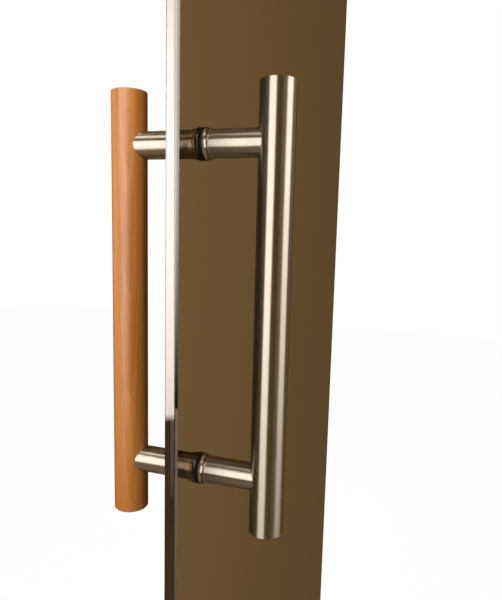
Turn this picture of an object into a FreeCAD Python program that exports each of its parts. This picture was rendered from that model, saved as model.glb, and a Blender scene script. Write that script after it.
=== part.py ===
import FreeCAD, Part
import math
import os

# Frameless glass sauna door, millimetres, +Z up.
# The origin is on the back face of the lower hinge's wall plate, at its centre.
# The leaf runs from the hinges towards -X, with its glass mid-plane at Y = 0.
# The outer side, with the steel pull bar, faces -Y.
# The inner side, with the beech pull bar, faces +Y.

# Glass leaf
leaf_width = 780.0
leaf_height = 1890.0
glass_thickness = 12.0
leaf_corner_radius = 4.0
arris = 1.5
hole_arris = 0.6
wall_gap = 12.0

# Hinge places, measured from the leaf's bottom and top edges
lower_hinge_height = 150.0
upper_hinge_drop = 150.0

# Hinge wall plate and its knuckle
wall_plate_height = 100.0
wall_plate_width = 56.0
wall_plate_thickness = 5.0
wall_plate_corner = 4.0
wall_plate_chamfer = 1.0
wall_screw_across = 34.0
wall_screw_spread = 76.0
wall_screw_hole = 5.5
wall_screw_head = 10.0
wall_screw_recess = 2.5
axis_from_wall = 25.0
knuckle_height = 30.0
knuckle_diameter = 18.0

# Hinge pin and pivot block
pin_diameter = 8.0
pin_clearance = 0.05
pin_end_inset = 1.0
pin_end_chamfer = 0.5
block_height = 70.0
block_wall_side = 7.0
block_web = 6.0
knuckle_side_room = 5.0
knuckle_end_room = 1.0

# Notch in the glass that the pivot block fills
notch_clearance = 1.0
notch_corner_radius = 5.0

# Hinge clamp plates, pads and bolts
clamp_height = 100.0
clamp_width = 66.0
clamp_thickness = 6.0
clamp_corner = 4.0
clamp_chamfer = 1.0
pad_thickness = 1.0
pad_inset = 2.0
clamp_bolt_diameter = 6.0
clamp_bolt_hole = 6.4
clamp_bolt_head = 12.0
clamp_bolt_spread = 52.0
clamp_bolt_inset = 8.0
clamp_bolt_blind = 2.0
bolt_head_recess = 0.4
socket_across_flats = 4.0
socket_depth = 2.5

# Pull handle
handle_height = 1020.0
handle_edge_distance = 55.0
bar_length = 400.0
steel_bar_diameter = 32.0
steel_bar_standoff = 71.0
steel_bar_wall = 1.5
beech_bar_diameter = 33.0
beech_bar_standoff = 70.5
beech_bar_drop = 1.7
beech_bar_end_round = 1.0
cap_thickness = 4.0
cap_rim = 0.4
cap_clearance = 0.05
post_spacing = 300.0
post_diameter = 25.0
post_wall = 2.5
saddle_clearance = 0.08

# Fittings at the glass
flange_diameter = 28.6
flange_neck_diameter = 26.8
flange_thickness = 6.0
flange_rim = 1.2
flange_hollow = 0.25
flange_edge = 0.4
spanner_hole = 2.8
spanner_hole_depth = 3.0
spanner_hole_height = 4.0
spanner_hole_turn = 15.0
spigot_length = 14.0
spigot_clearance = 0.1
spigot_groove_depth = 1.2
gasket_diameter = 29.2
gasket_thickness = 1.0
gasket_round = 0.4
glass_hole = 16.0
bush_clearance = 0.2
stud_diameter = 8.0
stud_clearance = 0.1
stud_end_chamfer = 0.8
grub_diameter = 5.0
grub_clearance = 0.05
grub_sink = 0.6
grub_socket = 2.5
grub_socket_depth = 1.5
outer_grub_from_flange = 4.0
outer_grub_turn = 0.0
inner_grub_from_flange = 3.5
inner_grub_turn = 76.0

# Fixing of the beech bar to its posts
bar_web_thickness = 4.0
bar_web_setback = 6.0
bar_screw_diameter = 6.0
bar_screw_head = 12.0
bar_screw_head_height = 3.5
bar_screw_bite = 20.0
bar_screw_clearance = 0.05

# Derived places
half_glass = glass_thickness / 2
hinge_edge_x = -wall_gap
leading_edge_x = hinge_edge_x - leaf_width
leaf_bottom = -lower_hinge_height
leaf_top = leaf_bottom + leaf_height
upper_hinge_z = leaf_top - upper_hinge_drop
axis_x = -axis_from_wall
knuckle_radius = knuckle_diameter / 2
block_room_x = axis_x - knuckle_radius - knuckle_side_room
block_far_x = block_room_x - block_web
block_near_x = axis_x + block_wall_side
knuckle_room = knuckle_height + 2 * knuckle_end_room
notch_far_x = block_far_x - notch_clearance
notch_height = block_height + 2 * notch_clearance
clamp_inner_y = half_glass + pad_thickness
clamp_outer_y = clamp_inner_y + clamp_thickness
clamp_far_x = block_near_x - clamp_width
post_x = leading_edge_x + handle_edge_distance
handle_z = leaf_bottom + handle_height
post_radius = post_diameter / 2
beech_bar_face_y = beech_bar_standoff - beech_bar_diameter / 2
bar_web_y = beech_bar_face_y - bar_web_setback
flange_seat_y = half_glass + gasket_thickness
post_start_y = flange_seat_y + flange_thickness
stud_half = post_start_y + spigot_length - stud_clearance
pin_bore = pin_diameter + 2 * pin_clearance
stud_bore = stud_diameter + 2 * stud_clearance
grub_bore = grub_diameter + 2 * grub_clearance
bar_screw_bore = bar_screw_diameter + 2 * bar_screw_clearance
spigot_diameter = post_diameter - 2 * post_wall - 2 * spigot_clearance
block_corner_radius = notch_corner_radius - notch_clearance

# Overshoot of a cut past a face, and the tolerance for finding edges
CUT = 1.0
NEAR = 1e-4


def box(x0, x1, y0, y1, z0, z1):
    """Block between two corners."""
    return Part.makeBox(x1 - x0, y1 - y0, z1 - z0, FreeCAD.Vector(x0, y0, z0))


def rod(diameter, start, direction, length):
    """Round bar from a start point along a direction."""
    return Part.makeCylinder(diameter / 2, length, FreeCAD.Vector(*start), FreeCAD.Vector(*direction))


def cone(diameter_start, diameter_end, start, direction, length):
    """Tapered round from a start point along a direction."""
    place = FreeCAD.Vector(*start)
    return Part.makeCone(diameter_start / 2, diameter_end / 2, length, place, FreeCAD.Vector(*direction))


def edges_along(shape, axis):
    """Straight edges that run along one axis (0, 1 or 2)."""
    found = []
    for edge in shape.Edges:
        if not isinstance(edge.Curve, Part.Line):
            continue
        if abs(abs(edge.Curve.Direction[axis]) - 1) < NEAR:
            found.append(edge)
    return found


def edges_in_plane(shape, axis, value):
    """Edges that lie wholly in the plane where the coordinate on axis has this value."""
    found = []
    for edge in shape.Edges:
        bounds = edge.BoundBox
        low = (bounds.XMin, bounds.YMin, bounds.ZMin)[axis]
        high = (bounds.XMax, bounds.YMax, bounds.ZMax)[axis]
        if abs(low - value) < NEAR and abs(high - value) < NEAR:
            found.append(edge)
    return found


def round_edges(shape):
    """Circular edges of a turned piece."""
    return [edge for edge in shape.Edges if isinstance(edge.Curve, Part.Circle)]


def far_edges(shape, x):
    """Edges along Y that stand in the plane at x."""
    return [edge for edge in edges_along(shape, 1) if abs(edge.BoundBox.XMin - x) < NEAR]


def turned(outline, start, direction):
    """Turned piece from edges drawn with radius along X and length along Z."""
    face = Part.Face(Part.Wire(outline))
    solid = face.revolve(FreeCAD.Vector(0, 0, 0), FreeCAD.Vector(0, 0, 1), 360)
    turn = FreeCAD.Rotation(FreeCAD.Vector(0, 0, 1), FreeCAD.Vector(*direction))
    solid.Placement = FreeCAD.Placement(FreeCAD.Vector(*start), turn)
    return solid


def lines(*points):
    """Straight outline edges through points given as (radius, length)."""
    vectors = [FreeCAD.Vector(radius, 0, length) for radius, length in points]
    return [Part.makeLine(a, b) for a, b in zip(vectors, vectors[1:])]


def save(shape, name):
    """Write one sub-part."""
    shape.exportStep("parts/" + name + ".step")


def socket(start, direction, across=socket_across_flats, depth=socket_depth):
    """Hexagonal key socket, sunk from its start point along a direction."""
    radius = across / math.sqrt(3)
    points = []
    for corner in range(7):
        angle = math.radians(60 * corner)
        points.append(FreeCAD.Vector(radius * math.cos(angle), radius * math.sin(angle), 0))
    prism = Part.Face(Part.makePolygon(points)).extrude(FreeCAD.Vector(0, 0, depth))
    turn = FreeCAD.Rotation(FreeCAD.Vector(0, 0, 1), FreeCAD.Vector(*direction))
    prism.Placement = FreeCAD.Placement(FreeCAD.Vector(*start), turn)
    return prism


def glass_leaf():
    """Toughened pane with eased corners, hinge notches, handle holes and polished arrises."""
    pane = box(leading_edge_x, hinge_edge_x, -half_glass, half_glass, leaf_bottom, leaf_top)
    pane = pane.makeFillet(leaf_corner_radius, edges_along(pane, 1))
    for hinge_z in (0.0, upper_hinge_z):
        pane = pane.cut(notch(hinge_z))
    for side in (-half_glass, half_glass):
        pane = pane.makeChamfer(arris, edges_in_plane(pane, 1, side))
    for post_z in post_heights():
        start = (post_x, -half_glass - CUT, post_z)
        pane = pane.cut(rod(glass_hole, start, (0, 1, 0), glass_thickness + 2 * CUT))
        for side in (-1, 1):
            mouth = glass_hole + 2 * hole_arris
            rim = (post_x, side * half_glass, post_z)
            pane = pane.cut(cone(mouth, glass_hole, rim, (0, -side, 0), hole_arris))
    return pane


def notch(z):
    """Cutter for the rounded notch that takes one hinge's pivot block."""
    low = z - notch_height / 2
    deep = half_glass + CUT
    cutter = box(notch_far_x, hinge_edge_x + CUT, -deep, deep, low, low + notch_height)
    return cutter.makeFillet(notch_corner_radius, far_edges(cutter, notch_far_x))


def post_heights():
    """Heights of the lower and upper handle posts."""
    return (handle_z - post_spacing / 2, handle_z + post_spacing / 2)


def wall_plate(z):
    """Screwed plate with the fixed knuckle that the pin turns in."""
    half_width = wall_plate_width / 2
    half_height = wall_plate_height / 2
    plate = box(-wall_plate_thickness, 0, -half_width, half_width, z - half_height, z + half_height)
    plate = plate.makeFillet(wall_plate_corner, edges_along(plate, 0))
    plate = plate.makeChamfer(wall_plate_chamfer, edges_in_plane(plate, 0, -wall_plate_thickness))
    low = z - knuckle_height / 2
    neck = box(axis_x, -wall_plate_thickness, -knuckle_radius, knuckle_radius, low, low + knuckle_height)
    barrel = rod(knuckle_diameter, (axis_x, 0, low), (0, 0, 1), knuckle_height)
    body = plate.fuse([neck, barrel]).removeSplitter()
    body = body.cut(rod(pin_bore, (axis_x, 0, low - CUT), (0, 0, 1), knuckle_height + 2 * CUT))
    for y, screw_z in wall_screw_places(z):
        body = body.cut(rod(wall_screw_hole, (CUT, y, screw_z), (-1, 0, 0), wall_plate_thickness + 2 * CUT))
        sink_start = (-wall_plate_thickness, y, screw_z)
        body = body.cut(cone(wall_screw_head, wall_screw_hole, sink_start, (1, 0, 0), wall_screw_recess))
    return body


def wall_screw_places(z):
    """Centres of the four wall screws of one plate."""
    places = []
    for y in (-wall_screw_across / 2, wall_screw_across / 2):
        for dz in (-wall_screw_spread / 2, wall_screw_spread / 2):
            places.append((y, z + dz))
    return places


def pivot_block(z):
    """Block in the glass notch, open in the middle for the knuckle, bored for the pin."""
    half = block_height / 2
    body = box(block_far_x, block_near_x, -clamp_inner_y, clamp_inner_y, z - half, z + half)
    body = body.makeFillet(block_corner_radius, far_edges(body, block_far_x))
    room = knuckle_room / 2
    body = body.cut(box(block_room_x, block_near_x + CUT, -clamp_outer_y, clamp_outer_y, z - room, z + room))
    body = body.cut(rod(pin_bore, (axis_x, 0, z - half - CUT), (0, 0, 1), block_height + 2 * CUT))
    for bolt_z in clamp_bolt_heights(z):
        start = (bolt_x(), -clamp_outer_y, bolt_z)
        body = body.cut(rod(clamp_bolt_hole, start, (0, 1, 0), 2 * clamp_outer_y))
    return body


def clamp_bolt_heights(z):
    """Heights of the two clamp bolts of one hinge."""
    return (z - clamp_bolt_spread / 2, z + clamp_bolt_spread / 2)


def bolt_x():
    """Clamp bolts stand in the pivot block, behind the pin."""
    return block_far_x + clamp_bolt_inset


def hinge_pin(z):
    """Plain pin through the knuckle and both arms of the pivot block."""
    length = block_height - 2 * pin_end_inset
    pin = rod(pin_diameter, (axis_x, 0, z - length / 2), (0, 0, 1), length)
    return pin.makeChamfer(pin_end_chamfer, round_edges(pin))


def clamp_plate(z, side):
    """Rectangular cover plate with a window at the knuckle, chamfered on its show face."""
    half = clamp_height / 2
    y0, y1 = sorted((side * clamp_inner_y, side * clamp_outer_y))
    plate = box(clamp_far_x, block_near_x, y0, y1, z - half, z + half)
    plate = plate.makeFillet(clamp_corner, edges_along(plate, 1))
    plate = plate.makeChamfer(clamp_chamfer, edges_in_plane(plate, 1, side * clamp_outer_y))
    room = knuckle_room / 2
    plate = plate.cut(box(block_room_x, block_near_x + CUT, y0 - CUT, y1 + CUT, z - room, z + room))
    for bolt_z in clamp_bolt_heights(z):
        if side > 0:
            start = (bolt_x(), y0 - CUT, bolt_z)
            plate = plate.cut(rod(clamp_bolt_hole, start, (0, 1, 0), y1 - y0 + 2 * CUT))
            sink = (clamp_bolt_head - clamp_bolt_hole) / 2
            start = (bolt_x(), clamp_outer_y, bolt_z)
            plate = plate.cut(cone(clamp_bolt_head, clamp_bolt_hole, start, (0, -1, 0), sink))
        else:
            depth = clamp_thickness - clamp_bolt_blind
            plate = plate.cut(rod(clamp_bolt_hole, (bolt_x(), -clamp_inner_y, bolt_z), (0, -1, 0), depth))
    return plate


def clamp_bolts(z):
    """Two countersunk socket bolts, entered from the inner side."""
    bolts = []
    head_y = clamp_outer_y - bolt_head_recess
    tip_y = -(clamp_inner_y + clamp_thickness - clamp_bolt_blind) + bolt_head_recess
    head_diameter = clamp_bolt_head - 3 * bolt_head_recess
    sink = (head_diameter - clamp_bolt_diameter) / 2
    for bolt_z in clamp_bolt_heights(z):
        start = (bolt_x(), head_y, bolt_z)
        head = cone(head_diameter, clamp_bolt_diameter, start, (0, -1, 0), sink)
        shank = rod(clamp_bolt_diameter, start, (0, -1, 0), head_y - tip_y)
        bolts.append(head.fuse(shank).removeSplitter().cut(socket(start, (0, -1, 0))))
    return Part.makeCompound(bolts)


def clamp_pad(z, side):
    """Thin fibre pad between a clamp plate and the glass, around the notch."""
    half = clamp_height / 2 - pad_inset
    y0, y1 = sorted((side * half_glass, side * clamp_inner_y))
    pad = box(clamp_far_x + pad_inset, block_near_x - pad_inset, y0, y1, z - half, z + half)
    low = z - notch_height / 2
    return pad.cut(box(notch_far_x, 0, y0 - CUT, y1 + CUT, low, low + notch_height))


def outer_bar():
    """Steel tube of the outer pull, square cut."""
    start = (post_x, -steel_bar_standoff, handle_z - bar_length / 2)
    tube = rod(steel_bar_diameter, start, (0, 0, 1), bar_length)
    tube = tube.makeChamfer(cap_rim, round_edges(tube))
    return tube.cut(rod(steel_bar_diameter - 2 * steel_bar_wall, start, (0, 0, 1), bar_length))


def bar_cap(direction):
    """Flush end plug of the steel tube, with a fine groove at its rim."""
    end_z = handle_z + direction * bar_length / 2
    diameter = steel_bar_diameter - 2 * steel_bar_wall - 2 * cap_clearance
    cap = rod(diameter, (post_x, -steel_bar_standoff, end_z), (0, 0, -direction), cap_thickness)
    return cap.makeChamfer(cap_rim, edges_in_plane(cap, 2, end_z))


def inner_bar():
    """Turned beech bar with eased ends and a pilot hole for each fixing screw.
    It hangs a little lower on its posts than the steel bar does."""
    start = (post_x, beech_bar_standoff, handle_z - bar_length / 2 - beech_bar_drop)
    bar = rod(beech_bar_diameter, start, (0, 0, 1), bar_length)
    bar = bar.makeFillet(beech_bar_end_round, round_edges(bar))
    depth = CUT + bar_screw_bite + bar_screw_clearance
    for z in post_heights():
        bar = bar.cut(rod(bar_screw_bore, (post_x, beech_bar_face_y - CUT, z), (0, 1, 0), depth))
    return bar


def bar_size(side):
    """Diameter and standoff of the bar on one side: steel outside, beech inside."""
    if side > 0:
        return beech_bar_diameter, beech_bar_standoff
    return steel_bar_diameter, steel_bar_standoff


def post(z, side):
    """Tubular post, butted on its flange and saddle cut to the bar."""
    diameter, standoff = bar_size(side)
    length = standoff - post_start_y
    start = (post_x, side * post_start_y, z)
    tube = rod(post_diameter, start, (0, side, 0), length)
    tube = tube.cut(rod(post_diameter - 2 * post_wall, start, (0, side, 0), length))
    if side > 0:
        tube = tube.fuse(bar_web(z)).removeSplitter()
    saddle = diameter + 2 * saddle_clearance
    bar_start = (post_x, side * standoff, z - bar_length)
    tube = tube.cut(rod(saddle, bar_start, (0, 0, 1), 2 * bar_length))
    return tube.cut(rod(grub_bore, grub_start(z, side), grub_direction(side), post_radius))


def bar_web(z):
    """Disc in the inner post that the beech bar's screw is tightened against."""
    start = (post_x, bar_web_y, z)
    disc = rod(post_diameter - post_wall, start, (0, 1, 0), bar_web_thickness)
    return disc.cut(rod(bar_screw_bore, start, (0, 1, 0), bar_web_thickness))


def bar_screw(z):
    """Screw from inside the inner post into the beech bar."""
    head = rod(bar_screw_head, (post_x, bar_web_y, z), (0, -1, 0), bar_screw_head_height)
    length = bar_web_setback + bar_screw_bite
    shank = rod(bar_screw_diameter, (post_x, bar_web_y, z), (0, 1, 0), length)
    screw = head.fuse(shank).removeSplitter()
    return screw.cut(socket((post_x, bar_web_y - bar_screw_head_height, z), (0, 1, 0)))


def inward(turn):
    """Direction towards a post's axis, from straight below and turned towards the leading edge."""
    angle = math.radians(turn)
    return (math.sin(angle), 0, math.cos(angle))


def on_skin(z, y, direction, radius):
    """Point on a round piece's skin, where a radial hole along the direction enters."""
    return (post_x - direction[0] * radius, y, z - direction[2] * radius)


def grub_direction(side):
    """Inward direction of a grub screw: nearly from the leading edge inside, from below outside."""
    if side > 0:
        return inward(inner_grub_turn)
    return inward(outer_grub_turn)


def grub_distance(side):
    """Distance of a grub screw from its flange."""
    if side > 0:
        return inner_grub_from_flange
    return outer_grub_from_flange


def grub_start(z, side):
    """Point on the post's skin where its grub screw enters."""
    y = side * (post_start_y + grub_distance(side))
    return on_skin(z, y, grub_direction(side), post_radius)


def grub_screw(z, side):
    """Grub screw that locks a post on its spigot, sunk a little below the skin."""
    x, y, start_z = grub_start(z, side)
    direction = grub_direction(side)
    start = (x + direction[0] * grub_sink, y, start_z + direction[2] * grub_sink)
    length = post_wall + spigot_clearance + spigot_groove_depth - grub_sink
    screw = rod(grub_diameter, start, direction, length)
    return screw.cut(socket(start, direction, grub_socket, grub_socket_depth))


def flange(z, side):
    """Flared steel foot of a post, turned in one with the grooved spigot that enters the post.
    A pin spanner turns it by the blind hole in its side."""
    bore = stud_bore / 2
    rim = flange_diameter / 2
    neck = flange_neck_diameter / 2
    spigot = spigot_diameter / 2
    core = spigot - spigot_groove_depth
    flare_end = flange_thickness - flange_edge
    groove_start = flange_thickness + grub_distance(side) - grub_bore / 2
    groove_end = groove_start + grub_bore
    total = flange_thickness + spigot_length
    outline = lines((bore, 0), (rim - flange_edge, 0), (rim, flange_edge), (rim, flange_rim))
    flare_start = FreeCAD.Vector(rim, 0, flange_rim)
    flare_stop = FreeCAD.Vector(neck, 0, flare_end)
    middle = (flare_start + flare_stop) / 2 - FreeCAD.Vector(flange_hollow, 0, flange_hollow)
    outline.append(Part.Arc(flare_start, middle, flare_stop).toShape())
    outline += lines((neck, flare_end), (neck - flange_edge, flange_thickness), (spigot, flange_thickness))
    outline += lines((spigot, flange_thickness), (spigot, groove_start), (core, groove_start))
    outline += lines((core, groove_start), (core, groove_end), (spigot, groove_end))
    outline += lines((spigot, groove_end), (spigot, total), (bore, total), (bore, 0))
    body = turned(outline, (post_x, side * flange_seat_y, z), (0, side, 0))
    direction = inward(spanner_hole_turn)
    start = on_skin(z, side * (flange_seat_y + spanner_hole_height), direction, rim)
    return body.cut(rod(spanner_hole, start, direction, spanner_hole_depth))


def gasket(z, side):
    """Black rubber washer between a flange and the glass."""
    start = (post_x, side * half_glass, z)
    ring = rod(gasket_diameter, start, (0, side, 0), gasket_thickness)
    ring = ring.makeFillet(gasket_round, edges_in_plane(ring, 1, side * flange_seat_y))
    return ring.cut(rod(stud_bore, start, (0, side, 0), gasket_thickness))


def glass_bush(z):
    """Black sleeve that keeps the stud off the glass hole."""
    start = (post_x, -half_glass, z)
    sleeve = rod(glass_hole - 2 * bush_clearance, start, (0, 1, 0), glass_thickness)
    return sleeve.cut(rod(stud_bore, start, (0, 1, 0), glass_thickness))


def through_stud(z):
    """Threaded stud that draws both flanges together through the glass."""
    stud = rod(stud_diameter, (post_x, -stud_half, z), (0, 1, 0), 2 * stud_half)
    return stud.makeChamfer(stud_end_chamfer, round_edges(stud))


def build_hinge(name, z):
    """All pieces of one glass-to-wall hinge."""
    save(wall_plate(z), name + "_wall_plate")
    save(pivot_block(z), name + "_pivot_block")
    save(hinge_pin(z), name + "_pin")
    for side_name, side in (("outer", -1), ("inner", 1)):
        save(clamp_plate(z, side), name + "_" + side_name + "_clamp")
        save(clamp_pad(z, side), name + "_" + side_name + "_pad")
    save(clamp_bolts(z), name + "_clamp_bolts")


def build_handle_point(name, z):
    """All pieces that hold the handle at one hole in the glass."""
    for side_name, side in (("outer", -1), ("inner", 1)):
        save(post(z, side), name + "_" + side_name + "_post")
        save(flange(z, side), name + "_" + side_name + "_flange")
        save(gasket(z, side), name + "_" + side_name + "_gasket")
        save(grub_screw(z, side), name + "_" + side_name + "_grub_screw")
    save(glass_bush(z), name + "_glass_bush")
    save(through_stud(z), name + "_through_stud")
    save(bar_screw(z), name + "_bar_screw")


os.makedirs("parts", exist_ok=True)
save(glass_leaf(), "glass_leaf")
save(outer_bar(), "outer_bar")
save(bar_cap(1), "outer_bar_top_cap")
save(bar_cap(-1), "outer_bar_bottom_cap")
save(inner_bar(), "inner_bar")
build_hinge("lower_hinge", 0.0)
build_hinge("upper_hinge", upper_hinge_z)
lower_post_z, upper_post_z = post_heights()
build_handle_point("lower", lower_post_z)
build_handle_point("upper", upper_post_z)
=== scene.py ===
# %% [markdown]
# # A frameless glass sauna door, dressed for rendering
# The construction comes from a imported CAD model: a bronze glass leaf, two clamp hinges and a
# pull handle with a steel bar outside and a beech bar inside. This file gives every piece its
# finish, adds the wall screws that the solids leave out, and builds a small studio round it.

# %% Load the frame
import math

import bpy
import numpy as np
from mathutils import Matrix, Vector


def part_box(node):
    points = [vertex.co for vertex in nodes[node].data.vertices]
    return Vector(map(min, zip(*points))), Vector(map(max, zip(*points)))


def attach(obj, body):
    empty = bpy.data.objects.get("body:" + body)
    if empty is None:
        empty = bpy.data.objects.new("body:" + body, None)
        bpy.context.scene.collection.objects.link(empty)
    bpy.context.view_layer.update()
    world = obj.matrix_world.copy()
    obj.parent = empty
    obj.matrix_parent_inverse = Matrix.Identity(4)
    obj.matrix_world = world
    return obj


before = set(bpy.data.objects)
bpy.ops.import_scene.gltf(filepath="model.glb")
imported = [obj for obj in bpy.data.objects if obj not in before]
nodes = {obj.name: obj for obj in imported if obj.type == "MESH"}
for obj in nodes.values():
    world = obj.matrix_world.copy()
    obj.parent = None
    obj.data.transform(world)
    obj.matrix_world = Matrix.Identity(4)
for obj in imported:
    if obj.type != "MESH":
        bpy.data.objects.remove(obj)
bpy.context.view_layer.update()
MM = 0.001
print("CAD nodes:", len(nodes))

# %% [markdown]
# ## Places taken from the frame
# Everything in the studio is set out from the handle, because that is what the photograph looks
# at. The handle's centre is midway between the two bars, in the middle of the glass.

# %% Handle centre and leaf edges
bar_low, bar_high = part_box("outer_bar")
glass_low, glass_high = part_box("glass_leaf")
handle_centre = Vector(((bar_low.x + bar_high.x) / 2, 0.0, (bar_low.z + bar_high.z) / 2))
gap_under_leaf = 10 * MM
floor_z = glass_low.z - gap_under_leaf
print("handle centre (m):", [round(c, 4) for c in handle_centre])


def from_handle(x, y, z):
    """Point given in millimetres from the handle's centre, in the frame's metres."""
    return handle_centre + Vector((x, y, z)) * MM


# %% [markdown]
# ## Camera
# A pull handle is photographed from close by, so perspective is strong. The camera stands half a
# metre from the leading edge, a little to the outer side, and looks along the glass towards the
# hinges. Its place and turn were worked out from the outlines of both bars and of the glass.

# %% Camera
camera_place = from_handle(-451.1, -198.6, 77.5)
turn_to_inside = math.radians(18.11)
tilt_down = math.radians(7.58)
roll = math.radians(1.38)
picture_height = 600
focal_in_pixels = 539.2
sensor = 36.0

forward = Vector((math.cos(tilt_down) * math.cos(turn_to_inside),
                  math.cos(tilt_down) * math.sin(turn_to_inside), -math.sin(tilt_down)))
level_right = Vector((math.sin(turn_to_inside), -math.cos(turn_to_inside), 0.0))
level_up = level_right.cross(forward)
right = level_right * math.cos(roll) + level_up * math.sin(roll)
up = level_up * math.cos(roll) - level_right * math.sin(roll)

camera_data = bpy.data.cameras.new("camera")
camera_data.sensor_width = sensor
camera_data.lens = sensor * focal_in_pixels / picture_height
camera_data.clip_start = 0.01
camera = bpy.data.objects.new("camera", camera_data)
turn = Matrix((right, up, -forward)).transposed().to_4x4()
camera.matrix_world = Matrix.Translation(camera_place) @ turn
bpy.context.scene.collection.objects.link(camera)
bpy.context.scene.camera = camera
print("lens (mm):", round(camera_data.lens, 2))

# %% [markdown]
# ## Helpers for materials
# Colours are chosen as sRGB hex values, as in a paint shop, and one function turns them linear.
# One function adds a node with its settings and its inputs. A value that is the same all over a
# surface is written straight on the shader's socket.

# %% Colour and node helpers


def linear(code):
    """sRGB hex code as a linear colour: each channel goes through the sRGB curve, alpha is 1."""
    channels = [int(code[i:i + 2], 16) / 255 for i in (1, 3, 5)]
    bent = [c / 12.92 if c <= 0.04045 else ((c + 0.055) / 1.055) ** 2.4 for c in channels]
    return (*bent, 1.0)


def add(tree, kind, inputs=None, **settings):
    """Add one node: settings are its own options, inputs are values or sockets by name or number."""
    node = tree.nodes.new(kind)
    for name, value in settings.items():
        setattr(node, name, value)
    for name, value in (inputs or {}).items():
        if isinstance(value, bpy.types.NodeSocket):
            tree.links.new(value, node.inputs[name])
        else:
            node.inputs[name].default_value = value
    return node


def new_material(name):
    """Empty material and its node tree."""
    material = bpy.data.materials.new(name)
    material.use_nodes = True
    material.node_tree.nodes.clear()
    return material, material.node_tree


def stretched_noise(tree, spacing_mm, detail=2.0):
    """Noise whose grain has its own spacing along X, Y and Z, in millimetres, on Object coordinates."""
    place = add(tree, "ShaderNodeTexCoord").outputs["Object"]
    scale = [1000.0 / spacing for spacing in spacing_mm]
    moved = add(tree, "ShaderNodeMapping", {"Vector": place, "Scale": scale}).outputs["Vector"]
    noise = add(tree, "ShaderNodeTexNoise", {"Vector": moved, "Scale": 1.0, "Detail": detail})
    return noise.outputs["Fac"]


print("mid grey as a linear value:", round(linear("#808080")[0], 3))

# %% [markdown]
# ## Brushed stainless steel
# The bars and posts are stainless tube, ground with an abrasive belt while the tube turns, so the
# scratches run round it. Light then smears along the tube and stays sharp across it: two lamps
# give two narrow bright bands with dark bands between. An anisotropic metal gives that. The real
# scratches are about 0.03 mm apart, too fine to show, so they are drawn about ten times coarser.

# %% Brushed steel
patch_mm = 24
rough_swing = 0.05
scratch_depth_mm = 0.004


def brushed_steel(name, codes, roughness, scratch_mm, tangent_axis, anisotropy):
    """Metal whose roughness, colour and height follow fine lines; scratch_mm is their X, Y, Z spacing.
    The tangent runs round the axis, and a quarter turn of it lays the smear along the axis."""
    material, tree = new_material(name)
    lines = stretched_noise(tree, scratch_mm)
    patches = stretched_noise(tree, (patch_mm, patch_mm, patch_mm))
    rough = add(tree, "ShaderNodeMapRange", {
        "Value": lines, "From Min": 0.25, "From Max": 0.75,
        "To Min": roughness - rough_swing, "To Max": roughness + rough_swing})
    shade = add(tree, "ShaderNodeMix", {"Factor": patches, "A": linear(codes[0]), "B": linear(codes[1])},
                data_type="RGBA")
    bump = add(tree, "ShaderNodeBump", {"Height": lines, "Distance": scratch_depth_mm * MM, "Strength": 0.6})
    metal = add(tree, "ShaderNodeBsdfPrincipled", {
        "Base Color": shade.outputs["Result"], "Metallic": 1.0, "Roughness": rough.outputs["Result"],
        "Anisotropic": anisotropy, "Anisotropic Rotation": 0.25, "Normal": bump.outputs["Normal"]})
    if tangent_axis:
        tangent = add(tree, "ShaderNodeTangent", direction_type="RADIAL", axis=tangent_axis)
        tree.links.new(tangent.outputs["Tangent"], metal.inputs["Tangent"])
    add(tree, "ShaderNodeOutputMaterial", {"Surface": metal.outputs["BSDF"]})
    return material


# %% The steels of this door
steel_codes = ("#d2ccc2", "#c6c0b6")
# Belt marks round the bar: two long crisp bands of light.
bar_steel = brushed_steel("stainless_steel_belt_brushed_bar", steel_codes, 0.36, (30, 30, 0.3), "Z", 1.0)
# Turning marks round the posts, which lie along Y.
post_steel = brushed_steel("stainless_steel_turned_post", steel_codes, 0.36, (30, 0.3, 30), "Y", 1.0)
# The feet are finished finer, so their rims catch small sharp lights.
foot_steel = brushed_steel("stainless_steel_turned_foot", steel_codes, 0.22, (30, 0.3, 30), "Y", 0.6)
# Hinge plates are ground upright with a fine belt: an even satin without bands.
hinge_steel = brushed_steel("stainless_steel_satin_ground", ("#c4c0b8", "#b8b4ac"), 0.38,
                            (0.35, 0.35, 40), None, 0.0)
# Screws, studs and pins come out of a tumbling drum: plain and slightly grainy.
screw_steel = brushed_steel("stainless_steel_tumbled", ("#bdbab4", "#aeaba5"), 0.30,
                            (0.8, 0.8, 0.8), None, 0.0)
# Grub screws are blackened in a hot salt bath: dark, with a faint brown cast.
grub_steel = brushed_steel("steel_black_oxide", ("#3c3833", "#2d2a27"), 0.34,
                           (0.8, 0.8, 0.8), None, 0.0)
print("steels:", sum("steel" in material.name for material in bpy.data.materials))

# %% [markdown]
# ## Beech
# Steamed beech is pinkish brown, with growth rings 2 to 3 mm apart that hardly differ in colour
# and with short dark flecks where its wood rays are cut. The bar is turned from one square
# blank, so the pattern is a solid one: rings round a pith line beside the bar, cut by the
# surface. Sanding and a thin oil leave a low soft sheen.

# %% Beech
# Both bars' axes lie about 71 mm from the middle of the glass.
bar_from_glass = 71
ring_mm = 2.6
streak_mm, broad_mm, fleck_mm = (0.9, 0.9, 60), (11, 11, 240), (0.45, 0.45, 3.2)
grain_depth = 0.02 * MM
pith_off_x, pith_off_y = 52, 38


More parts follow.
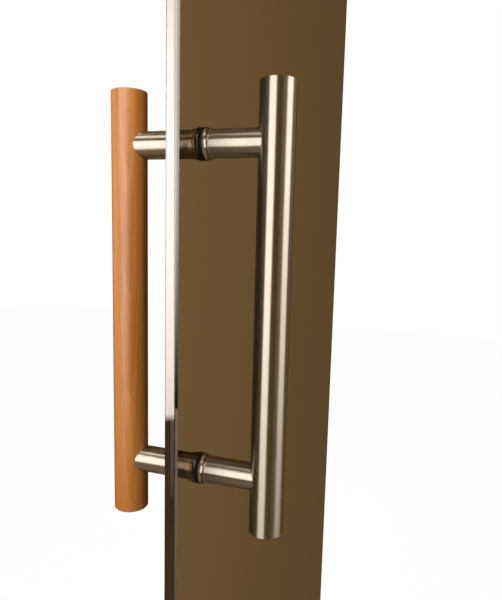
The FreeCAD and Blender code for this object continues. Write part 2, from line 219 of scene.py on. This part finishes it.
def oiled_beech(name):
    """Growth rings, long streaks and ray flecks, mixed as factors between four browns. The rings'
    pith line stands beside the bar, nearer the free edge and the glass.
    A ring wave of scale s repeats every tau / (20 s) metres, so s = tau / (20 * ring spacing)."""
    material, tree = new_material(name)
    place = add(tree, "ShaderNodeTexCoord").outputs["Object"]
    to_pith = (pith_off_x * MM - handle_centre.x, (pith_off_y - bar_from_glass) * MM, 0.0)
    pith = add(tree, "ShaderNodeMapping", {
        "Vector": place, "Location": to_pith,
        "Rotation": (math.radians(1.2), math.radians(-0.9), 0.0)}).outputs["Vector"]
    rings = add(tree, "ShaderNodeTexWave", {
        "Vector": pith, "Scale": math.tau / (20 * ring_mm * MM), "Distortion": 3.5,
        "Detail": 2.0, "Detail Scale": 0.12}, wave_type="RINGS", rings_direction="Z", wave_profile="SAW")
    streaks = stretched_noise(tree, streak_mm, 4.0)
    streak = add(tree, "ShaderNodeMapRange", {"Value": streaks, "From Min": 0.36, "From Max": 0.72,
                                              "To Max": 0.85})
    wide = add(tree, "ShaderNodeMapRange", {"Value": stretched_noise(tree, broad_mm, 1.0),
                                            "From Min": 0.4, "From Max": 0.7, "To Max": 0.5})
    fleck = add(tree, "ShaderNodeMapRange", {"Value": stretched_noise(tree, fleck_mm, 1.0),
                                             "From Min": 0.62, "From Max": 0.72, "To Max": 0.45})
    colour, mid, dark, ray = (linear(code) for code in ("#c68e4e", "#b47632", "#945014", "#723609"))
    for factor, towards in ((rings.outputs["Fac"], mid), (streak.outputs["Result"], mid),
                            (wide.outputs["Result"], dark), (fleck.outputs["Result"], ray)):
        mixed = add(tree, "ShaderNodeMix", {"Factor": factor, "A": colour, "B": towards}, data_type="RGBA")
        colour = mixed.outputs["Result"]
    rough = add(tree, "ShaderNodeMapRange", {"Value": streaks, "To Min": 0.28, "To Max": 0.46})
    bump = add(tree, "ShaderNodeBump", {"Height": streaks, "Distance": grain_depth, "Strength": 0.5})
    wood = add(tree, "ShaderNodeBsdfPrincipled", {
        "Base Color": colour, "Roughness": rough.outputs["Result"], "Normal": bump.outputs["Normal"],
        "IOR": 1.6, "Specular IOR Level": 0.6})
    add(tree, "ShaderNodeOutputMaterial", {"Surface": wood.outputs["BSDF"]})
    return material


beech = oiled_beech("beech_turned_and_oiled")
print("nodes in the beech:", len(beech.node_tree.nodes))

# %% [markdown]
# ## Bronze glass
# Sauna doors use float glass that is tinted brown in the melt and then toughened. The colour is
# in the body, so it is made as a volume that absorbs light over the way travelled. Rays from
# lamps cross as through a clear film, so that the glass casts a tinted shadow, not a black one.
#
# Two things are painted shade and not set by optics. In the photograph the polished edge is nearly black
# wherever no lamp mirrors in it, so the faces between the two broad ones pass hardly any light, and what is
# left of them is a clean mirror. And the metal shows next to nothing that it would mirror through the pane,
# so rays that have left a mirror pass through less strongly.

# %% Glass
half_thickness = glass_high.y
edge_margin = 0.02 * MM
# The edge's dark colour is painted shade, and the share lost after a mirror is painted shade in reflections.
edge_painted_shade, painted_shade_after_mirror = "#1a140a", 0.92
body_code, body_density = "#ba9e3f", 230.0


def bronze_glass(name):
    """Polished surface over an absorbing body. An edge face is where |Y| is less than half the
    thickness less a small margin. The body passes exp(-density * (1 - colour) * way travelled)."""
    material, tree = new_material(name)
    place = add(tree, "ShaderNodeTexCoord").outputs["Object"]
    across = add(tree, "ShaderNodeSeparateXYZ", {0: place}).outputs["Y"]
    from_middle = add(tree, "ShaderNodeMath", {0: across}, operation="ABSOLUTE")
    edge_mask_for_painted_shade = add(tree, "ShaderNodeMath", {0: from_middle.outputs[0], 1: half_thickness - edge_margin},
                  operation="LESS_THAN")
    # Edge faces pass a painted dark colour: painted shade on the edge, on top of the body's absorption.
    passes = add(tree, "ShaderNodeMix", {"Factor": edge_mask_for_painted_shade.outputs[0], "A": linear("#ffffff"),
                                         "B": linear(edge_painted_shade)}, data_type="RGBA")
    # Rays that have left a mirror see the pane painted darker: painted shade in what the metal mirrors
    # through the glass.
    mirrored = add(tree, "ShaderNodeLightPath").outputs["Is Reflection Ray"]
    share = add(tree, "ShaderNodeMath", {0: mirrored, 1: painted_shade_after_mirror}, operation="MULTIPLY")
    passes_with_painted_shade = add(tree, "ShaderNodeMix", {"Factor": share.outputs[0], "A": passes.outputs["Result"],
                                              "B": linear("#000000")}, data_type="RGBA")
    surface = add(tree, "ShaderNodeBsdfPrincipled", {
        "Base Color": passes_with_painted_shade.outputs["Result"], "Roughness": 0.0, "IOR": 1.52,
        "Transmission Weight": 1.0})
    film = add(tree, "ShaderNodeBsdfTransparent", {"Color": linear("#f7f7f7")})
    lamp_ray = add(tree, "ShaderNodeLightPath").outputs["Is Shadow Ray"]
    both = add(tree, "ShaderNodeMixShader", {0: lamp_ray, 1: surface.outputs["BSDF"],
                                             2: film.outputs["BSDF"]})
    body = add(tree, "ShaderNodeVolumeAbsorption", {"Color": linear(body_code), "Density": body_density})
    add(tree, "ShaderNodeOutputMaterial", {"Surface": both.outputs["Shader"],
                                           "Volume": body.outputs["Volume"]})
    return material


glass = bronze_glass("float_glass_bronze_toughened")
straight = [math.exp(-body_density * (1 - c) * 2 * half_thickness) for c in linear(body_code)[:3]]
print("passed straight through (red, green, blue):", [round(share, 2) for share in straight])

# %% [markdown]
# ## Rubber, nylon and fibre
# Soft parts keep metal off the glass: a moulded rubber washer under each foot, a black nylon
# sleeve in each hole and a pressed fibre pad under each clamp plate. They are dull and dark. The
# rubber still has some sheen from its mould, the nylon a little from the lathe, the fibre none.

# %% Soft materials
grain_swing = 0.06


def dull_material(name, codes, roughness, grain_mm, bump_mm):
    """Two close colours mixed by a fine grain, with a matching bump."""
    material, tree = new_material(name)
    grain = stretched_noise(tree, (grain_mm, grain_mm, grain_mm), 3.0)
    shade = add(tree, "ShaderNodeMix", {"Factor": grain, "A": linear(codes[0]), "B": linear(codes[1])},
                data_type="RGBA")
    rough = add(tree, "ShaderNodeMapRange", {"Value": grain, "To Min": roughness - grain_swing,
                                             "To Max": roughness + grain_swing})
    bump = add(tree, "ShaderNodeBump", {"Height": grain, "Distance": bump_mm * MM, "Strength": 0.7})
    surface = add(tree, "ShaderNodeBsdfPrincipled", {
        "Base Color": shade.outputs["Result"], "Roughness": rough.outputs["Result"],
        "Normal": bump.outputs["Normal"], "IOR": 1.5})
    add(tree, "ShaderNodeOutputMaterial", {"Surface": surface.outputs["BSDF"]})
    return material


rubber = dull_material("rubber_moulded_black", ("#2a241d", "#352e26"), 0.42, 1.2, 0.02)
nylon = dull_material("nylon_turned_black", ("#141312", "#1c1b1a"), 0.38, 0.6, 0.01)
fibre = dull_material("fibre_board_pressed", ("#4a4540", "#35312d"), 0.8, 0.5, 0.04)
print("materials:", len(bpy.data.materials))

# %% [markdown]
# ## Give each CAD node its finish
# The CAD shapes are right as they are, so each keeps its mesh and gets a material in its slot.
# The names of the nodes say what each piece is, and the first line that fits a name counts.

# %% Assign finishes
finishes = [
    (("glass_leaf",), glass),
    (("inner_bar",), beech),
    (("gasket",), rubber),
    (("bush",), nylon),
    (("_pad",), fibre),
    (("grub",), grub_steel),
    (("stud", "bolts", "screw", "_pin"), screw_steel),
    (("hinge",), hinge_steel),
    (("outer_bar",), bar_steel),
    (("flange",), foot_steel),
    (("post",), post_steel),
]


def finish_of(name):
    """Material for a CAD node, chosen by the words in its name."""
    for words, material in finishes:
        if any(word in name for word in words):
            return material
    raise ValueError("no finish for " + name)


for name, node in nodes.items():
    node.data.materials.clear()
    node.data.materials.append(finish_of(name))
print("finished nodes:", len(nodes))

# %% [markdown]
# ## Wall screws
# Each hinge plate is fixed with four countersunk wood screws. A screw head is a turned form with
# a six-lobed driver recess, so it is one surface: a list of rings, each with a radius, a depth
# and a share of the lobes, carried round the axis.

# %% Turned surface helper


def turned_surface(name, radius, depth, lobe, centres, steps=60):
    """Closed surface round X. A ring's point at angle a is at radius*(1 + lobe*cos(6a)), depth along X.
    The rings are copied to each centre, and the first and the last ring are closed with a face."""
    angle = np.linspace(0, math.tau, steps, endpoint=False)
    reach = np.outer(radius, np.ones(steps)) * (1 + np.outer(lobe, np.cos(6 * angle)))
    x = np.outer(depth, np.ones(steps))
    ring = np.stack([x, reach * np.cos(angle), reach * np.sin(angle)], axis=-1).reshape(-1, 3)
    points = (np.array(centres)[:, None, :] + ring[None]).reshape(-1, 3)
    row = np.arange(len(radius) - 1)[:, None] * steps
    column = np.arange(steps)[None]
    after = (column + 1) % steps
    corners = [row + column, row + steps + column, row + steps + after, row + after]
    quads = np.stack(corners, axis=-1).reshape(-1, 4)
    first = np.arange(steps)
    last = (len(radius) - 1) * steps + np.arange(steps)[::-1]
    faces = []
    for copy in range(len(centres)):
        shift = copy * len(ring)
        faces += (quads + shift).tolist() + [(first + shift).tolist(), (last + shift).tolist()]
    mesh = bpy.data.meshes.new(name)
    mesh.from_pydata(points.tolist(), [], faces)
    mesh.validate()
    piece = bpy.data.objects.new(name, mesh)
    bpy.context.scene.collection.objects.link(piece)
    return piece


# %% Rings of a screw
# X points into the wall. In order: three rings of the recess's floor, deepest in the middle, the
# top of its wall, its edge on the head's face, the face's rim, the head's widest ring, the end of
# the cone and the end of the shank, just short of the wall.
plate_thickness = 5 * MM
screw_across, screw_spread = 34 * MM, 76 * MM
head_radius, shank_radius, recess_radius = 4.6 * MM, 2.4 * MM, 1.75 * MM
recess_depth, head_sunk, rim = 1.5 * MM, 0.25 * MM, 0.15 * MM
shank_end = -0.3 * MM
recess_shares = np.array([0.02, 0.35, 0.97, 1.0, 1.03])
top = -plate_thickness + head_sunk
bottom = top + recess_depth
cone_end = top + head_radius - shank_radius
ring_radius = np.append(recess_shares * recess_radius,
                        [head_radius - rim, head_radius, shank_radius, shank_radius])
ring_depth = np.array([bottom, bottom - 0.1 * MM, bottom - 0.2 * MM, top + 0.05 * MM, top, top,
                       top + rim, cone_end, shank_end])
ring_lobe = np.array([0.0, 0.0, 0.14, 0.14, 0.14, 0.0, 0.0, 0.0, 0.0])
print("rings in a screw:", len(ring_radius))

# %% Screws in the hinge plates
for hinge in ("lower", "upper"):
    plate_low, plate_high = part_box(hinge + "_hinge_wall_plate")
    middle_z = (plate_low.z + plate_high.z) / 2
    centres = [(0, y, middle_z + z) for y in (-screw_across / 2, screw_across / 2)
               for z in (-screw_spread / 2, screw_spread / 2)]
    screws = turned_surface(hinge + "_wall_screws", ring_radius, ring_depth, ring_lobe, centres)
    screws.data.materials.append(screw_steel)
    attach(screws, "wall_plates")
    print(screws.name, "faces:", len(screws.data.polygons))

# %% [markdown]
# ## Floor
# The floor is pale matt paint and takes the door's shadow. For the camera it is seven tenths plain
# white, so that the background stays clean, and three tenths lit paint, in which the shadow
# shows. It sends no light up to the door and doesn't mirror in it.

# %% Floor
plain_white_share = 0.7
floor_half = 5.0


def pale_floor():
    """Diffuse paint, mixed with plain white for what the camera sees directly or through glass."""
    material, tree = new_material("paint_pale_matt")
    paint = add(tree, "ShaderNodeBsdfDiffuse", {"Color": linear("#fbfbfa")})
    white = add(tree, "ShaderNodeEmission", {"Color": linear("#ffffff"), "Strength": 1.0})
    path = add(tree, "ShaderNodeLightPath").outputs
    seen = add(tree, "ShaderNodeMath", {0: path["Is Camera Ray"], 1: path["Is Transmission Ray"]},
               operation="MAXIMUM")
    share = add(tree, "ShaderNodeMath", {0: seen.outputs[0], 1: plain_white_share}, operation="MULTIPLY")
    both = add(tree, "ShaderNodeMixShader", {0: share.outputs[0], 1: paint.outputs["BSDF"],
                                             2: white.outputs["Emission"]})
    add(tree, "ShaderNodeOutputMaterial", {"Surface": both.outputs["Shader"]})
    return material


floor_mesh = bpy.data.meshes.new("floor")
corners = [(x * floor_half, y * floor_half, floor_z) for x, y in ((-1, -1), (1, -1), (1, 1), (-1, 1))]
floor_mesh.from_pydata(corners, [], [(0, 1, 2, 3)])
floor = bpy.data.objects.new("floor", floor_mesh)
floor.data.materials.append(pale_floor())
floor.visible_glossy = False
floor.visible_diffuse = False
bpy.context.scene.collection.objects.link(floor)
print("floor height (m):", round(floor_z, 3))

# %% [markdown]
# ## Studio walls
# Metal and glass show the room, not themselves. In the photograph the steel has dark warm bands,
# so the studio has dark brown walls that only mirror-like reflections see. The camera, the
# shadows and the soft light don't meet them.

# %% Studio walls
wall_half = 4.5
wall_material, tree = new_material("felt_dark_brown")
wall_glow = add(tree, "ShaderNodeEmission", {"Color": linear("#614c2f"), "Strength": 1.0})
add(tree, "ShaderNodeOutputMaterial", {"Surface": wall_glow.outputs["Emission"]})
wall_material.cycles.emission_sampling = "NONE"
cube = np.array([(x, y, z) for x in (-1, 1) for y in (-1, 1) for z in (-1, 1)]) * wall_half
wall_mesh = bpy.data.meshes.new("studio_walls")
wall_faces = [(0, 1, 3, 2), (4, 6, 7, 5), (0, 4, 5, 1), (2, 3, 7, 6), (0, 2, 6, 4), (1, 5, 7, 3)]
wall_mesh.from_pydata((cube + np.array(handle_centre)).tolist(), [], wall_faces)
walls = bpy.data.objects.new("studio_walls", wall_mesh)
walls.data.materials.append(wall_material)
for way in ("camera", "diffuse", "transmission", "volume_scatter", "shadow"):
    setattr(walls, "visible_" + way, False)
bpy.context.scene.collection.objects.link(walls)
print("room across (m):", 2 * wall_half)

# %% [markdown]
# ## Who is lit by what
# A photographer flags lamps off with black card, so that one lamp reaches the glass and another
# the metal. Light linking does the same: a lamp is given the list of objects that it lights. The
# glass, the wood, the posts, the hinges and the floor each have a list, and so have the posts'
# tubes without their feet and the posts' halves on the inner side. The list for the steel bar is
# all that is left without glass, wood and posts.

# %% Groups that a lamp can be kept to


def lit_group(name, members):
    """Collection of the objects that a linked lamp lights. It isn't part of the scene's own tree."""
    group = bpy.data.collections.new(name)
    for member in members:
        group.objects.link(member)
    return group


glass_leaf, wood_bar = nodes["glass_leaf"], nodes["inner_bar"]
pieces = [thing for thing in bpy.data.objects if thing.type == "MESH" and thing is not walls]
posts = [node for name, node in nodes.items() if "_post" in name or "_flange" in name]
only_glass = lit_group("lit_glass", [glass_leaf])
only_floor = lit_group("lit_floor", [floor])
all_but_glass = lit_group("lit_but_glass", [piece for piece in pieces if piece is not glass_leaf])
only_posts = lit_group("lit_posts", posts)
only_tubes = lit_group("lit_post_tubes", [node for node in posts if "_post" in node.name])
only_rear_posts = lit_group("lit_rear_posts", [node for node in posts if "inner" in node.name])
only_wood = lit_group("lit_wood", [wood_bar])
only_metal = lit_group("lit_metal", [piece for piece in pieces
                                     if piece not in (glass_leaf, wood_bar, *posts)])
only_hinges = lit_group("lit_hinges", [piece for piece in pieces if "hinge" in piece.name])

# %% [markdown]
# ## One kind of lamp
# Every lamp round the door is a softbox: a rectangle of cloth with an even glow. A mirror shows
# the brightness of its face, so that is what is chosen, and the power follows from it. Where a
# box has to end softly in a reflection, its face fades, as cloth does that is lit from the middle.

# %% Softbox helper
even = (1.0, 1.0)
hem = 0.015


def faded(tree, share, t, before):
    """(1 - (1 - root of share) * t * t) squared, times what came before: 1 at t = 0, share at t = 1."""
    squared = add(tree, "ShaderNodeMath", {0: t, 1: 2.0}, operation="POWER")
    less = add(tree, "ShaderNodeMath", {0: squared.outputs[0], 1: math.sqrt(share) - 1.0, 2: 1.0},
               operation="MULTIPLY_ADD")
    face = add(tree, "ShaderNodeMath", {0: less.outputs[0], 1: 2.0}, operation="POWER").outputs[0]
    return add(tree, "ShaderNodeMath", {0: face, 1: before}, operation="MULTIPLY").outputs[0]


def softbox(name, place, aim, size, brightness, code, lit, ends=even, sides=1.0):
    """Rectangular lamp at place, turned to aim, size is (width, height).
    Its power is brightness times pi times its area. Its face fades from the middle to a share of
    that at the lower end, the upper end and both sides. A box that fades also has a hem at its
    lower end, in which it goes to black, as cloth does over a frame."""
    data = bpy.data.lights.new(name, "AREA")
    data.shape = "RECTANGLE"
    data.size, data.size_y = size
    data.energy = brightness * math.pi * size[0] * size[1]
    data.color = linear(code)[:3]
    if (*ends, sides) != (*even, 1.0):
        data.use_nodes = True
        tree = data.node_tree
        tree.nodes.clear()
        on_face = add(tree, "ShaderNodeNewGeometry").outputs["Parametric"]
        u, v = add(tree, "ShaderNodeSeparateXYZ", {0: on_face}).outputs[:2]
        face = add(tree, "ShaderNodeMapRange", {"Value": v, "From Max": hem}).outputs["Result"]
        for along, end, share in ((v, 0.0, ends[0]), (v, 1.0, ends[1]), (u, 0.0, sides), (u, 1.0, sides)):
            t = add(tree, "ShaderNodeMapRange", {"Value": along, "From Min": 0.5, "From Max": end})
            face = faded(tree, share, t.outputs["Result"], face)
        glow = add(tree, "ShaderNodeEmission", {"Strength": face})
        add(tree, "ShaderNodeOutputLight", {"Surface": glow.outputs["Emission"]})
    lamp = bpy.data.objects.new(name, data)
    lamp.location = place
    lamp.rotation_euler = (aim - place).to_track_quat("-Z", "Y").to_euler()
    lamp.visible_camera = False
    lamp.visible_transmission = False
    lamp.light_linking.receiver_collection = lit
    bpy.context.scene.collection.objects.link(lamp)
    return lamp


# %% Places round an upright line
steel_axis, wood_axis, middle_axis = (0, -bar_from_glass), (0, bar_from_glass), (0, 0)
rear_axis, edge_axis = (0, 35), (-55, 0)
near = 750


def round_axis(axis, compass, distance, z):
    """Point at a compass angle round an upright line, counted from the hinge side to the inner side."""
    angle = math.radians(compass)
    return from_handle(axis[0] + distance * math.cos(angle), axis[1] + distance * math.sin(angle), z)


def upright_box(name, axis, compass, distance, z, *face, aim_z=None):
    """Softbox beside an upright line, turned to that line at its own height, or at aim_z if given.
    The face is told as to softbox: size, brightness, colour, group, and ends and sides if it fades."""
    aim = from_handle(*axis, z if aim_z is None else aim_z)
    return softbox(name, round_axis(axis, compass, distance, z), aim, *face)


print("usual distance of a lamp (mm):", near)

# %% [markdown]
# ## Lamps for the steel and the beech bar
# Two tall softboxes make the two bright bands on the steel bar: one behind the camera on the
# inner side, and one beside the outer face. Two weak boxes beside them stand for the light that
# they spill. The posts get their own pair, because their bands end at other heights.
#
# The beech has a large box on its lit side, a dim one behind, one that reaches past the free
# edge of the glass to its shaded side, and a small lamp close to its top end.

# %% Softboxes round the bars
warm = "#fff6ee"
for name, compass, z, size, brightness, lit, ends in (
        ("softbox_inner_side", 162, 144, (0.576, 1.012), 2.7, only_metal, (1.0, 0.9)),
        ("softbox_outer_side", 272, 290, (0.576, 1.1), 2.6, only_metal, (0.25, 0.9)),
        ("softbox_inner_for_posts", 162, 120, (0.576, 0.84), 2.7, only_posts, even),
        ("softbox_outer_for_posts", 272, 290, (0.576, 1.1), 2.6, only_posts, (0.25, 0.9)),
        ("spill_outer_side", 236, 290, (0.36, 1.1), 0.14, only_metal, even),
        ("spill_hinge_side", 316, 290, (0.42, 1.1), 0.14, only_metal, (0.0, 1.0))):
    upright_box(name, steel_axis, compass, near, z, size, brightness, warm, lit, ends)
for name, compass, distance, z, aim_z, size, brightness, code, ends in (
        ("softbox_for_wood", 171, near, 230, 230, (0.7, 1.2), 3.5, "#fffefc", (0.3, 1.0)),
        ("backdrop_for_wood", 102, 900, 150, 150, (0.6, 1.4), 0.85, warm, (0.6, 1.0)),
        ("softbox_past_glass_edge", 222, near, 420, 200, (0.3, 0.5), 1.9, "#ffdcae", even),
        ("top_light_for_wood", 228, 60, 330, 180, (0.05, 0.05), 18.0, warm, even)):
    upright_box(name, wood_axis, compass, distance, z, size, brightness, code, only_wood, ends, aim_z=aim_z)
print("lamps so far:", len(bpy.data.lights))

# %% [markdown]
# ## Lamps for the posts
# The posts lie level, so their bands come from above and below as much as from the sides. A
# narrow box behind the camera draws the thin line along the tubes, two very large weak boxes
# lift their dark flanks, and the halves on the inner side have a box and a tube to themselves.

# %% Softboxes for the posts
over, under, straight_off, just_off = 1600, -895, 1000, 1
upright_box("softbox_for_posts", middle_axis, 205, 900, 140, (0.3, 0.76), 4.2, warm, only_tubes)
# The aim is a millimetre off the vertical, which settles how the box is turned.
for name, z, way, brightness in (("fill_over_posts", over, -1, 0.26), ("fill_under_posts", under, 1, 0.15)):
    softbox(name, from_handle(-300, 300, z), from_handle(-300, 300 + just_off, z + way * straight_off),
            (2.6, 2.6), brightness, "#fff6dc", only_posts)
upright_box("softbox_for_rear_posts", rear_axis, 141, near, 50, (0.25, 0.9), 2.2, warm, only_rear_posts)
tube_place, tube_aim = from_handle(-400, 350, 900), from_handle(0, 350, 150)
softbox("tube_for_rear_posts", tube_place, tube_aim, (0.9, 0.24), 2.3, warm, only_rear_posts)
print("lamps so far:", len(bpy.data.lights))

# %% [markdown]
# ## Lamps for the glass edge
# Glass mirrors only a twentieth of what it sees, so a strip that shows in its polished edge has
# to be far brighter than the boxes for the steel. The flat of the edge and its two arrises, the
# narrow bevels beside it, look to three different sides, and each has its own strip. Low down,
# the edge mirrors the floor, where two dim warm strips lie, facing up.

# %% Strips for the glass edge
warmer = "#fff4ec"
strip_height, strip_size = 227, (0.072, 1.18)
strip_lean = math.radians(0.35)
for name, compass, brightness, ends in (("strip_in_glass_edge", 151.0, 26.0, (0.6, 0.3)),
                                        ("strip_beside_it", 156.5, 15.0, (0.0, 0.9))):
    strip = upright_box(name, edge_axis, compass, near, strip_height, strip_size,
                        brightness, warmer, only_glass, ends)
    strip.rotation_euler.rotate_axis("Z", strip_lean)
for name, compass, z, size, brightness, ends, sides in (
        ("dim_end_of_strip", 153.7, -450, (0.008, 0.2), 1.0, (0.2, 1.2), 1.0),
        ("strip_in_outer_arris", 243.3, 300, (0.1, 1.3), 11.0, (0.0, 1.0), 0.0),
        ("strip_in_inner_arris", 63.3, strip_height, (0.44, 1.18), 2.6, (0.5, 0.0), 0.0)):
    upright_box(name, edge_axis, compass, near, z, size, brightness, warmer, only_glass, ends, sides)
for name, compass, distance, size, brightness, code, ends in (
        ("floor_glow_in_edge", 153.2, 2000, (0.5, 3.8), 0.76, "#ffc890", even),
        ("floor_glow_in_arris", 243.3, 1550, (0.34, 1.7), 3.2, "#ffe6cc", (1.4, 0.4))):
    place = round_axis(edge_axis, compass, distance, under)
    strip = softbox(name, place, place + Vector((0, 0, 1)), size, brightness, code, only_glass, ends, 0.0)
    strip.rotation_euler = (math.pi, 0, math.radians(compass - 90))
print("lamps so far:", len(bpy.data.lights))

# %% [markdown]
# ## Lamps for the hinges, the whole and the floor
# The hinges are out of the photograph, but they have to look right from every side and at every
# swing, so they get even boxes on both sides and from the wall. A tube overhead lights all but
# the glass. The floor has a soft sun of its own, near the level at which paint looks as it is
# written. It is slightly blue, which cancels the warm fill, and it leans so that the door's
# shadow falls on the outer side. The boxes for the steel bar and the tube reach the floor too.

# %% Softboxes for the hinges and a tube overhead
hinge_side_size, hinge_aim = (1.6, 3.2), from_handle(700, 0, -100)
for name, place, size, brightness in (
        ("outer_softbox_for_hinges", from_handle(500, -1700, -100), hinge_side_size, 0.65),
        ("inner_softbox_for_hinges", from_handle(500, 1700, -100), hinge_side_size, 0.65),
        ("end_softbox_for_hinges", from_handle(2600, 0, -100), (1.4, 3.2), 0.55)):
    softbox(name, place, hinge_aim, size, brightness, warm, only_hinges)
softbox("tube_overhead", tube_place, tube_aim, (0.9, 0.12), 2.6, warm, all_but_glass)
print("lamps so far:", len(bpy.data.lights))

# %% Light on the floor
floor_lean, floor_softness = math.radians(25), math.radians(30)
floor_level = 0.926
floor_light = bpy.data.lights.new("light_on_floor", "SUN")
floor_light.energy = floor_level * math.pi / math.cos(floor_lean)
floor_light.angle = floor_softness
floor_light.color = linear("#dcf3ff")[:3]
floor_lamp = bpy.data.objects.new("light_on_floor", floor_light)
floor_lamp.rotation_euler = (-floor_lean, 0, 0)
floor_lamp.light_linking.receiver_collection = only_floor
bpy.context.scene.collection.objects.link(floor_lamp)
print("light on the floor, against the plain level:", floor_level)

# %% [markdown]
# ## World
# The sky around is plain white where the camera looks, directly or through glass. It is white for
# glossy rays too, but the dark walls stand before it there. For all other rays it is a soft warm
# fill.

# %% World
world = bpy.data.worlds.new("studio")
bpy.context.scene.world = world
world.use_nodes = True
tree = world.node_tree
tree.nodes.clear()
path = add(tree, "ShaderNodeLightPath").outputs
seen = add(tree, "ShaderNodeMath", {0: path["Is Camera Ray"], 1: path["Is Transmission Ray"]},
           operation="MAXIMUM")
seen_too = add(tree, "ShaderNodeMath", {0: seen.outputs[0], 1: path["Is Glossy Ray"]}, operation="MAXIMUM")
fill = add(tree, "ShaderNodeBackground", {"Color": linear("#ffb878"), "Strength": 0.32})
white = add(tree, "ShaderNodeBackground", {"Color": linear("#ffffff"), "Strength": 1.0})
sky = add(tree, "ShaderNodeMixShader", {0: seen_too.outputs[0], 1: fill.outputs[0], 2: white.outputs[0]})
add(tree, "ShaderNodeOutputWorld", {"Surface": sky.outputs[0]})
bpy.context.scene.view_settings.view_transform = "Standard"
print("view transform:", bpy.context.scene.view_settings.view_transform)
